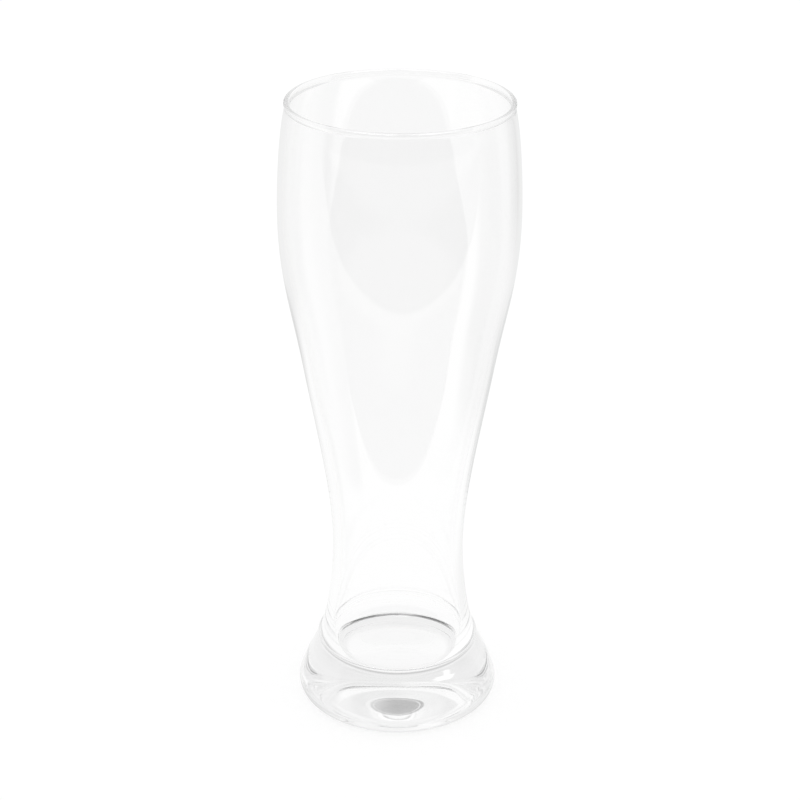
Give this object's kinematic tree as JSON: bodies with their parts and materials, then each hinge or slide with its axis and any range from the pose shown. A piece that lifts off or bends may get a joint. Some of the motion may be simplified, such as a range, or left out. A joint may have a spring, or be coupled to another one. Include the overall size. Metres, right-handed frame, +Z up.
{
  "type": "weizen beer glass",
  "caption": "Tall clear wheat beer glass: a blown bowl with a rolled rim, wide belly and narrow waist, fused to a heavy solid foot.",
  "frame": {"origin": "on the table, under the middle of the foot", "axes": "+Z up along the axis of the glass, X and Y across it"},
  "size_m": [0.086, 0.086, 0.235],
  "materials": {
    "bowl_glass": "clear polished",
    "foot_glass": "clear polished"
  },
  "bodies": {
    "root": {"bowl": "bowl_glass", "foot": "foot_glass"}
  },
  "joints": []
}
